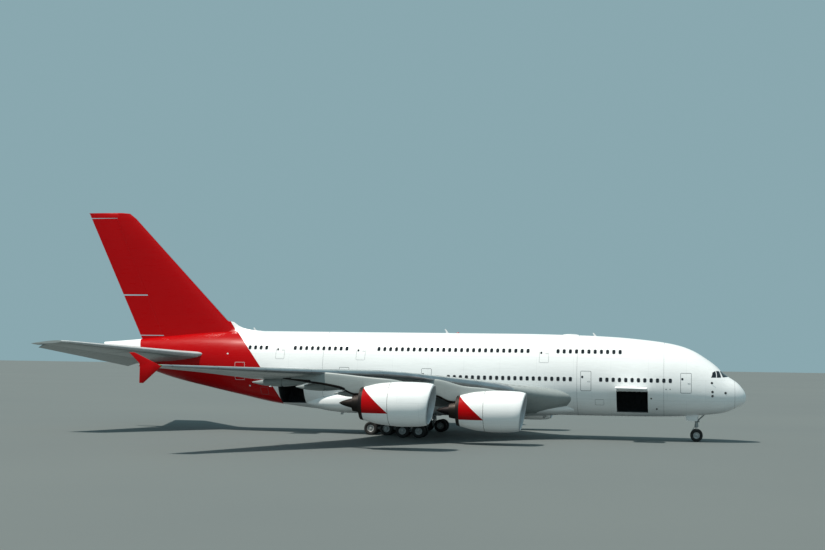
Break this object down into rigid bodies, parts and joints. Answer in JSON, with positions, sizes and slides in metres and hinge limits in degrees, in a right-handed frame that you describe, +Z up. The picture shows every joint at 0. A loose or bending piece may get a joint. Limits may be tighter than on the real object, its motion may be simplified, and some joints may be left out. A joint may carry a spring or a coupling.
{
  "type": "wide body airliner, scale model at 1:2",
  "caption": "Double-deck wide body jet airliner at half size, parked on its gear with cargo doors open, flaps up, with wing engines and turning fans, wheels and control surfaces.",
  "frame": {"origin": "on the ground, under the middle of the length and of the span", "axes": "+X to the nose, +Y to port, +Z up"},
  "size_m": [36.365, 39.875, 12.045],
  "materials": {
    "white_paint": "glossy white paint",
    "red_paint": "glossy red paint",
    "grey_paint": "satin grey paint",
    "gear_metal": "satin grey metal",
    "engine_metal": "heat-darkened metal",
    "fan_metal": "dark satin metal",
    "tyre": "matt black rubber"
  },
  "bodies": {
    "airframe": {"nose_section": "white_paint", "forward_section": "white_paint", "centre_section": "white_paint", "aft_section": "white_paint", "belly_fairing": "white_paint", "right_inner_pylon": "white_paint", "left_inner_pylon": "white_paint", "right_outer_pylon": "white_paint", "left_outer_pylon": "white_paint", "right_inner_nacelle": "white_paint", "left_inner_nacelle": "white_paint", "right_outer_nacelle": "white_paint", "left_outer_nacelle": "white_paint", "tail_section": "red_paint", "fin": "red_paint", "right_wingtip_fence": "red_paint", "left_wingtip_fence": "red_paint", "right_wing": "grey_paint", "left_wing": "grey_paint", "right_tailplane": "grey_paint", "left_tailplane": "grey_paint", "right_wing_gear_leg": "gear_metal", "left_wing_gear_leg": "gear_metal", "right_body_gear_leg": "gear_metal", "left_body_gear_leg": "gear_metal", "nose_gear_leg": "gear_metal", "right_inner_engine_core": "engine_metal", "left_inner_engine_core": "engine_metal", "right_outer_engine_core": "engine_metal", "left_outer_engine_core": "engine_metal"},
    "forward_cargo_door": {"forward_cargo_door": "white_paint"},
    "aft_cargo_door": {"aft_cargo_door": "white_paint"},
    "lower_rudder": {"lower_rudder": "red_paint"},
    "upper_rudder": {"upper_rudder": "red_paint"},
    "right_inner_flap": {"right_inner_flap": "grey_paint"},
    "left_inner_flap": {"left_inner_flap": "grey_paint"},
    "right_outer_flap": {"right_outer_flap": "grey_paint"},
    "left_outer_flap": {"left_outer_flap": "grey_paint"},
    "right_inner_aileron": {"right_inner_aileron": "grey_paint"},
    "left_inner_aileron": {"left_inner_aileron": "grey_paint"},
    "right_outer_aileron": {"right_outer_aileron": "grey_paint"},
    "left_outer_aileron": {"left_outer_aileron": "grey_paint"},
    "right_elevator": {"right_elevator": "grey_paint"},
    "left_elevator": {"left_elevator": "grey_paint"},
    "nose_gear_steering": {"nose_gear_steering": "gear_metal"},
    "right_inner_fan": {"right_inner_fan": "fan_metal"},
    "left_inner_fan": {"left_inner_fan": "fan_metal"},
    "right_outer_fan": {"right_outer_fan": "fan_metal"},
    "left_outer_fan": {"left_outer_fan": "fan_metal"},
    "nose_wheels": {"nose_wheels": "tyre"},
    "right_wing_gear_front_wheels": {"right_wing_gear_front_wheels": "tyre"},
    "left_wing_gear_front_wheels": {"left_wing_gear_front_wheels": "tyre"},
    "right_wing_gear_rear_wheels": {"right_wing_gear_rear_wheels": "tyre"},
    "left_wing_gear_rear_wheels": {"left_wing_gear_rear_wheels": "tyre"},
    "right_body_gear_front_wheels": {"right_body_gear_front_wheels": "tyre"},
    "left_body_gear_front_wheels": {"left_body_gear_front_wheels": "tyre"},
    "right_body_gear_middle_wheels": {"right_body_gear_middle_wheels": "tyre"},
    "left_body_gear_middle_wheels": {"left_body_gear_middle_wheels": "tyre"},
    "right_body_gear_rear_wheels": {"right_body_gear_rear_wheels": "tyre"},
    "left_body_gear_rear_wheels": {"left_body_gear_rear_wheels": "tyre"}
  },
  "joints": [
    {"name": "right_inner_fan_spin", "type": "hinge", "parent": "airframe", "child": "right_inner_fan", "pos_m": [6.7975, -7.45, 1.59], "axis": [1, 0, 0], "continuous": true},
    {"name": "right_outer_fan_spin", "type": "hinge", "parent": "airframe", "child": "right_outer_fan", "pos_m": [3.3725, -12.85, 2.025], "axis": [1, 0, 0], "continuous": true},
    {"name": "right_wing_gear_front_wheels_spin", "type": "hinge", "parent": "airframe", "child": "right_wing_gear_front_wheels", "pos_m": [1.8075, -3.115, 0.35], "axis": [0, 1, 0], "continuous": true},
    {"name": "right_wing_gear_rear_wheels_spin", "type": "hinge", "parent": "airframe", "child": "right_wing_gear_rear_wheels", "pos_m": [0.9575, -3.115, 0.35], "axis": [0, 1, 0], "continuous": true},
    {"name": "right_body_gear_front_wheels_spin", "type": "hinge", "parent": "airframe", "child": "right_body_gear_front_wheels", "pos_m": [0.5825, -1.315, 0.35], "axis": [0, 1, 0], "continuous": true},
    {"name": "right_body_gear_middle_wheels_spin", "type": "hinge", "parent": "airframe", "child": "right_body_gear_middle_wheels", "pos_m": [-0.2675, -1.315, 0.35], "axis": [0, 1, 0], "continuous": true},
    {"name": "right_body_gear_rear_wheels_spin", "type": "hinge", "parent": "airframe", "child": "right_body_gear_rear_wheels", "pos_m": [-1.1175, -1.315, 0.35], "axis": [0, 1, 0], "continuous": true},
    {"name": "right_inner_flap_hinge", "type": "hinge", "parent": "airframe", "child": "right_inner_flap", "pos_m": [-0.0675, -4.675, 1.93106], "axis": [-0.2591, -0.9501, 0.1739], "range_deg": [0, 33]},
    {"name": "right_outer_flap_hinge", "type": "hinge", "parent": "airframe", "child": "right_outer_flap", "pos_m": [-2.18, -10.325, 2.66312], "axis": [-0.383, -0.9208, 0.074], "range_deg": [0, 33]},
    {"name": "right_inner_aileron_hinge", "type": "hinge", "parent": "airframe", "child": "right_inner_aileron", "pos_m": [-4.11875, -14.9375, 3.31627], "axis": [-0.4144, -0.9079, 0.0628], "range_deg": [-25, 25]},
    {"name": "right_outer_aileron_hinge", "type": "hinge", "parent": "airframe", "child": "right_outer_aileron", "pos_m": [-5.3675, -17.615, 3.48335], "axis": [-0.4178, -0.907, 0.052], "range_deg": [-25, 25]},
    {"name": "right_elevator_hinge", "type": "hinge", "parent": "airframe", "child": "right_elevator", "pos_m": [-15.4625, -4.3125, 4.22835], "axis": [-0.4235, -0.9006, 0.0977], "range_deg": [-42, 8]},
    {"name": "left_inner_fan_spin", "type": "hinge", "parent": "airframe", "child": "left_inner_fan", "pos_m": [6.7975, 7.45, 1.59], "axis": [1, 0, 0], "continuous": true},
    {"name": "left_outer_fan_spin", "type": "hinge", "parent": "airframe", "child": "left_outer_fan", "pos_m": [3.3725, 12.85, 2.025], "axis": [1, 0, 0], "continuous": true},
    {"name": "left_wing_gear_front_wheels_spin", "type": "hinge", "parent": "airframe", "child": "left_wing_gear_front_wheels", "pos_m": [1.8075, 3.115, 0.35], "axis": [0, 1, 0], "continuous": true},
    {"name": "left_wing_gear_rear_wheels_spin", "type": "hinge", "parent": "airframe", "child": "left_wing_gear_rear_wheels", "pos_m": [0.9575, 3.115, 0.35], "axis": [0, 1, 0], "continuous": true},
    {"name": "left_body_gear_front_wheels_spin", "type": "hinge", "parent": "airframe", "child": "left_body_gear_front_wheels", "pos_m": [0.5825, 1.315, 0.35], "axis": [0, 1, 0], "continuous": true},
    {"name": "left_body_gear_middle_wheels_spin", "type": "hinge", "parent": "airframe", "child": "left_body_gear_middle_wheels", "pos_m": [-0.2675, 1.315, 0.35], "axis": [0, 1, 0], "continuous": true},
    {"name": "left_body_gear_rear_wheels_spin", "type": "hinge", "parent": "airframe", "child": "left_body_gear_rear_wheels", "pos_m": [-1.1175, 1.315, 0.35], "axis": [0, 1, 0], "continuous": true},
    {"name": "left_inner_flap_hinge", "type": "hinge", "parent": "airframe", "child": "left_inner_flap", "pos_m": [-0.0675, 4.675, 1.93106], "axis": [0.2591, -0.9501, -0.1739], "range_deg": [0, 33]},
    {"name": "left_outer_flap_hinge", "type": "hinge", "parent": "airframe", "child": "left_outer_flap", "pos_m": [-2.18, 10.325, 2.66312], "axis": [0.383, -0.9208, -0.074], "range_deg": [0, 33]},
    {"name": "left_inner_aileron_hinge", "type": "hinge", "parent": "airframe", "child": "left_inner_aileron", "pos_m": [-4.11875, 14.9375, 3.31627], "axis": [-0.4144, 0.9079, 0.0628], "range_deg": [-25, 25]},
    {"name": "left_outer_aileron_hinge", "type": "hinge", "parent": "airframe", "child": "left_outer_aileron", "pos_m": [-5.3675, 17.615, 3.48335], "axis": [-0.4178, 0.907, 0.052], "range_deg": [-25, 25]},
    {"name": "left_elevator_hinge", "type": "hinge", "parent": "airframe", "child": "left_elevator", "pos_m": [-15.4625, 4.3125, 4.22835], "axis": [0.4235, -0.9006, -0.0977], "range_deg": [-42, 8]},
    {"name": "lower_rudder_hinge", "type": "hinge", "parent": "airframe", "child": "lower_rudder", "pos_m": [-14.047, 0, 6.255], "axis": [-0.4081, 0, 0.9129], "range_deg": [-30, 30]},
    {"name": "upper_rudder_hinge", "type": "hinge", "parent": "airframe", "child": "upper_rudder", "pos_m": [-15.5405, 0, 9.5875], "axis": [-0.4086, 0, 0.9127], "range_deg": [-30, 30]},
    {"name": "nose_steering", "type": "hinge", "parent": "airframe", "child": "nose_gear_steering", "pos_m": [15.7025, 0, 0.81], "axis": [0, 0, 1], "range_deg": [-70, 70]},
    {"name": "nose_wheels_spin", "type": "hinge", "parent": "nose_gear_steering", "child": "nose_wheels", "pos_m": [15.7025, 0, 0.3175], "axis": [0, 1, 0], "continuous": true},
    {"name": "forward_cargo_door_hinge", "type": "hinge", "parent": "airframe", "child": "forward_cargo_door", "pos_m": [12.4825, -1.775, 2.585], "axis": [1, 0, 0], "range_deg": [0, 132]},
    {"name": "aft_cargo_door_hinge", "type": "hinge", "parent": "airframe", "child": "aft_cargo_door", "pos_m": [-5.58, -1.75, 2.585], "axis": [1, 0, 0], "range_deg": [0, 132]}
  ]
}
